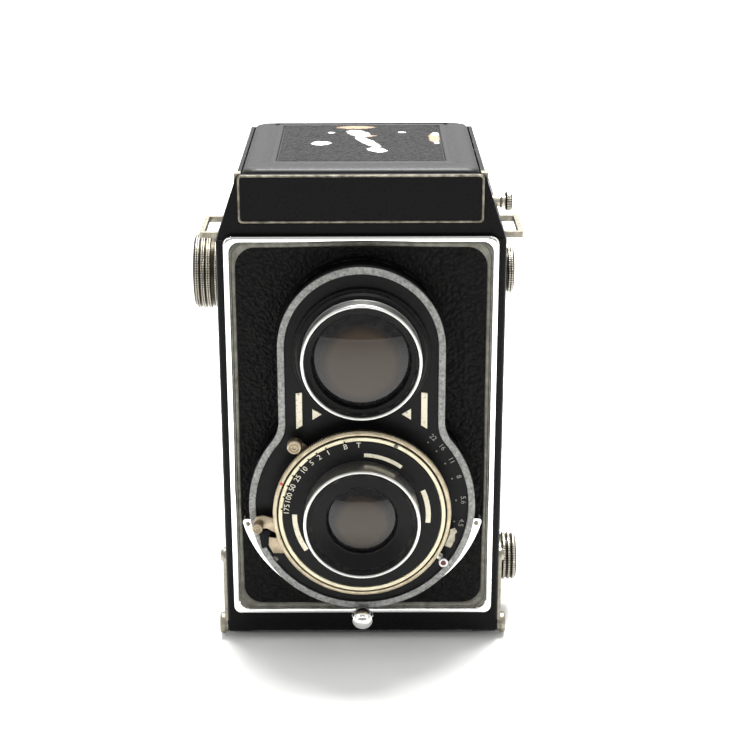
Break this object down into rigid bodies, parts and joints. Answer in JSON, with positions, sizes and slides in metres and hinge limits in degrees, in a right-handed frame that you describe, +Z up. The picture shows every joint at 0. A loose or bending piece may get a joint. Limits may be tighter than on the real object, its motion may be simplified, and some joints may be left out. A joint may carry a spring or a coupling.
{
  "type": "twin lens reflex camera",
  "caption": "Box camera with a viewing lens above a taking lens, folding hood with mirror and screen, hinged back, film winding knob and focusing lever.",
  "frame": {"origin": "centre of the tripod thread's mouth, on the plane that the camera stands on", "axes": "+Z up through the body, lenses look along -Y, +X to the right seen from the front"},
  "size_m": [0.0945, 0.0997, 0.135],
  "materials": {
    "black_lacquer": "semi-gloss black lacquer, worn at the edges",
    "leatherette": "fine pebbled black leatherette",
    "bright_chrome": "polished chrome",
    "nickel": "tarnished nickel plate, knurled on the knobs",
    "warm_nickel": "warm champagne nickel plate",
    "worn_aluminium": "dull worn bare edge",
    "board_enamel": "satin black enamel",
    "cream_metal": "cream inlay",
    "chamber_black": "matt black",
    "mirror_silver": "silvered glass",
    "ground_glass": "matt ground glass",
    "lens_glass": "clear lens glass",
    "ruby": "dark red window",
    "spring_brass": "rolled spring brass",
    "blade_steel": "blued steel",
    "spool_black": "black sheet metal"
  },
  "bodies": {
    "camera_body": {"body_shell": "black_lacquer", "tripod_socket": "nickel", "taking_box": "chamber_black", "reflex_mirror": "mirror_silver", "mirror_bed": "chamber_black", "front_leather": "leatherette", "front_bezel": "bright_chrome", "side_leathers": "leatherette", "strap_lugs": "nickel", "hinge_brackets": "nickel", "door_pivots": "nickel", "hood_base": "black_lacquer", "nameplate": "black_lacquer", "ground_glass": "ground_glass", "screen_frame": "chamber_black", "hood_pins": "nickel", "spindle_bushes": "nickel", "supply_pivot": "nickel"},
    "back_door": {"back_door": "black_lacquer", "door_floor": "black_lacquer", "door_leather": "leatherette", "ruby_window": "ruby", "door_pins": "nickel", "pressure_plate": "chamber_black", "plate_springs": "spring_brass"},
    "door_latch": {"door_latch": "nickel"},
    "window_cover": {"window_cover": "nickel"},
    "lens_board": {"lens_board": "board_enamel", "board_trim": "worn_aluminium", "board_inlays": "cream_metal", "viewing_collar": "board_enamel", "viewing_rim": "bright_chrome", "viewing_barrel": "board_enamel", "viewing_glass": "lens_glass", "rear_cells": "board_enamel", "shutter_housing": "board_enamel", "shutter_face": "board_enamel", "taking_rim": "bright_chrome", "taking_barrel": "board_enamel", "taking_glass": "lens_glass", "shutter_blades": "blade_steel"},
    "focus_lever": {"focus_lever": "bright_chrome", "focus_ball": "bright_chrome"},
    "speed_ring": {"speed_ring": "warm_nickel"},
    "aperture_lever": {"aperture_lever": "nickel"},
    "timer_lever": {"timer_lever": "nickel"},
    "cocking_lever": {"cocking_lever": "warm_nickel"},
    "release_lever": {"release_lever": "warm_nickel"},
    "hood_lid": {"hood_lid": "black_lacquer", "lid_leather": "leatherette", "magnifier_frame": "chamber_black", "magnifier_lens": "lens_glass"},
    "side_leaf_right": {"side_leaf_right": "chamber_black"},
    "side_leaf_left": {"side_leaf_left": "chamber_black"},
    "rear_leaf": {"rear_leaf": "chamber_black"},
    "wind_knob": {"wind_knob": "nickel", "take_up_spool": "spool_black"},
    "upper_spool_knob": {"upper_spool_knob": "nickel"},
    "lower_spool_knob": {"lower_spool_knob": "nickel"},
    "counter_knob": {"counter_knob": "nickel"}
  },
  "joints": [
    {"name": "board_slide", "type": "slide", "parent": "camera_body", "child": "lens_board", "axis": [0, -1, 0], "range_m": [-0.0018, 0.0018]},
    {"name": "focus_turn", "type": "hinge", "parent": "lens_board", "child": "focus_lever", "pos_m": [0, -0.046, 0.0454], "axis": [0, 1, 0], "range_deg": [-26, 26]},
    {"name": "speed_turn", "type": "hinge", "parent": "lens_board", "child": "speed_ring", "pos_m": [0, -0.046, 0.0454], "axis": [0, 1, 0], "range_deg": [-21, 67]},
    {"name": "aperture_turn", "type": "hinge", "parent": "lens_board", "child": "aperture_lever", "pos_m": [0, -0.046, 0.0454], "axis": [0, 1, 0], "range_deg": [-64, 0]},
    {"name": "timer_turn", "type": "hinge", "parent": "lens_board", "child": "timer_lever", "pos_m": [0, -0.046, 0.0454], "axis": [0, 1, 0], "range_deg": [0, 30]},
    {"name": "cocking_turn", "type": "hinge", "parent": "lens_board", "child": "cocking_lever", "pos_m": [0, -0.046, 0.0454], "axis": [0, 1, 0], "range_deg": [0, 22], "stiffness_Nm_per_rad": 0.004},
    {"name": "release_turn", "type": "hinge", "parent": "lens_board", "child": "release_lever", "pos_m": [0, -0.046, 0.0454], "axis": [0, -1, 0], "range_deg": [0, 12], "stiffness_Nm_per_rad": 0.006},
    {"name": "lid_swing", "type": "hinge", "parent": "camera_body", "child": "hood_lid", "pos_m": [0, -0.0306, 0.1328], "axis": [1, 0, 0], "range_deg": [0, 90]},
    {"name": "right_leaf_swing", "type": "hinge", "parent": "camera_body", "child": "side_leaf_right", "pos_m": [0.0294, 0, 0.129], "axis": [0, 1, 0], "range_deg": [0, 90]},
    {"name": "left_leaf_swing", "type": "hinge", "parent": "camera_body", "child": "side_leaf_left", "pos_m": [-0.0294, 0, 0.129], "axis": [0, -1, 0], "range_deg": [0, 90]},
    {"name": "rear_leaf_swing", "type": "hinge", "parent": "camera_body", "child": "rear_leaf", "pos_m": [0, 0.0296, 0.1266], "axis": [-1, 0, 0], "range_deg": [0, 90]},
    {"name": "door_swing", "type": "hinge", "parent": "camera_body", "child": "back_door", "pos_m": [0, -0.03, 0.0035], "axis": [-1, 0, 0], "range_deg": [0, 100]},
    {"name": "latch_turn", "type": "hinge", "parent": "back_door", "child": "door_latch", "pos_m": [0, 0.0415, 0.1075], "axis": [0, 1, 0], "range_deg": [0, 90]},
    {"name": "cover_turn", "type": "hinge", "parent": "back_door", "child": "window_cover", "pos_m": [0, 0.0405, 0.036], "axis": [0, 1, 0], "range_deg": [0, 90]},
    {"name": "wind_turn", "type": "hinge", "parent": "camera_body", "child": "wind_knob", "pos_m": [-0.0425, 0.0245, 0.0918], "axis": [1, 0, 0], "continuous": true},
    {"name": "upper_knob_pull", "type": "slide", "parent": "camera_body", "child": "upper_spool_knob", "axis": [1, 0, 0], "range_m": [0, 0.006], "stiffness_N_per_m": 80},
    {"name": "lower_knob_pull", "type": "slide", "parent": "camera_body", "child": "lower_spool_knob", "axis": [1, 0, 0], "range_m": [0, 0.006], "stiffness_N_per_m": 80},
    {"name": "counter_turn", "type": "hinge", "parent": "camera_body", "child": "counter_knob", "pos_m": [0.041, 0.001, 0.1185], "axis": [1, 0, 0], "continuous": true}
  ],
  "couplings": [
    {"joint": "focus_turn", "follows": "board_slide", "rad_per_m": 244},
    {"joint": "right_leaf_swing", "follows": "lid_swing", "ratio": 1},
    {"joint": "left_leaf_swing", "follows": "lid_swing", "ratio": 1},
    {"joint": "rear_leaf_swing", "follows": "lid_swing", "ratio": 1}
  ]
}
